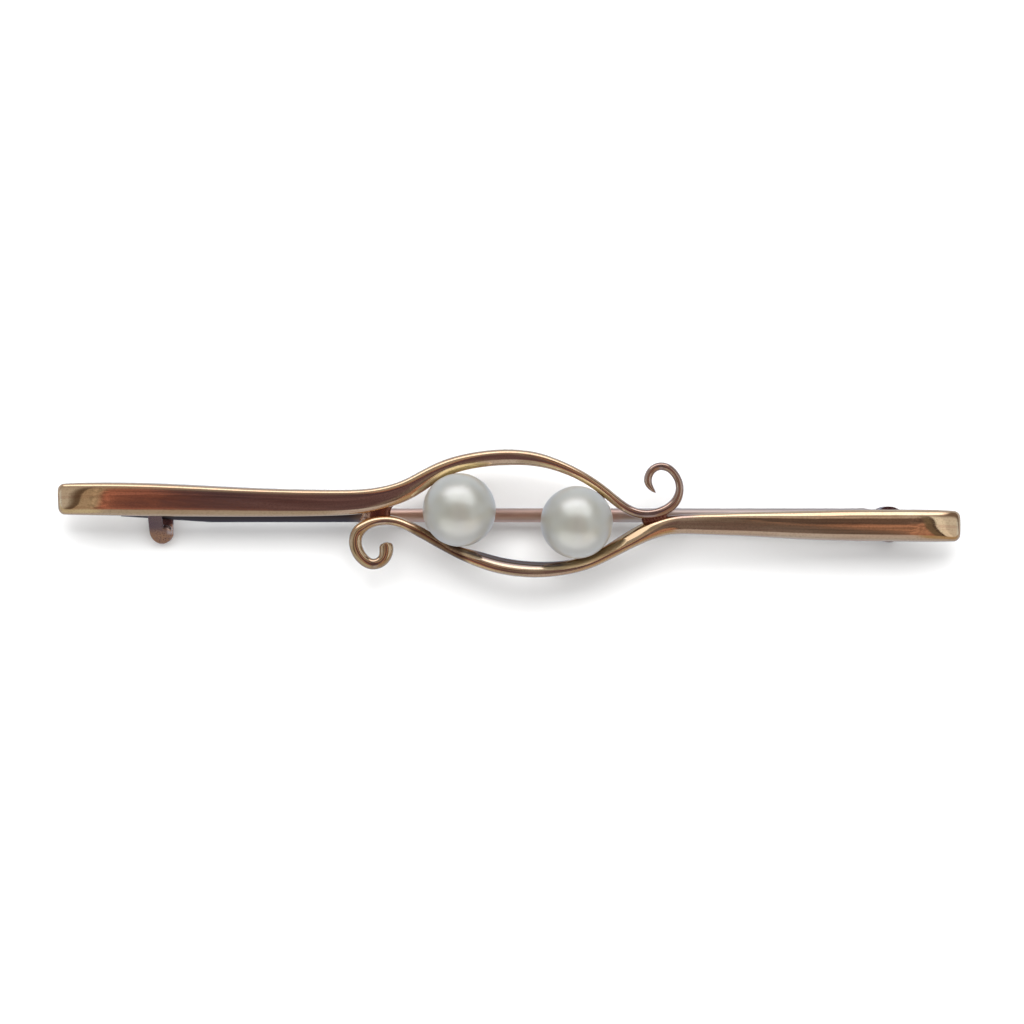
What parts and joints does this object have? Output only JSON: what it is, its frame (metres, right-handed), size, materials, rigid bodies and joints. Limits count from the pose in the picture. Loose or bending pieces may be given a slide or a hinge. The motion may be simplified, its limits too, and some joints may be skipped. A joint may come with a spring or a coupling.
{
  "type": "bar brooch",
  "caption": "Slim gold bar brooch with an open eye of swept strips and scrolls round white pearls, and a hinged pin with a hook catch behind.",
  "frame": {"origin": "under the middle of the brooch, on the surface that its catch and joint rest on", "axes": "+X along the bar from the catch to the joint, +Y up the face as worn, +Z out of the face"},
  "size_m": [0.0602, 0.0085, 0.0072],
  "materials": {
    "gold": "polished yellow gold",
    "pearl": "white pearl with a soft lustre",
    "pin_gold": "lightly brushed rose gold"
  },
  "bodies": {
    "brooch": {"bar_frame": "gold", "left_pearl": "pearl", "right_pearl": "pearl", "hinge_rivet": "pin_gold"},
    "pin": {"pin_stem": "pin_gold"}
  },
  "joints": [
    {"name": "pin_swing", "type": "hinge", "parent": "brooch", "child": "pin", "pos_m": [0.02535, -0.00006, 0.00135], "axis": [0, -0.766, -0.6428], "range_deg": [0, 110]}
  ]
}
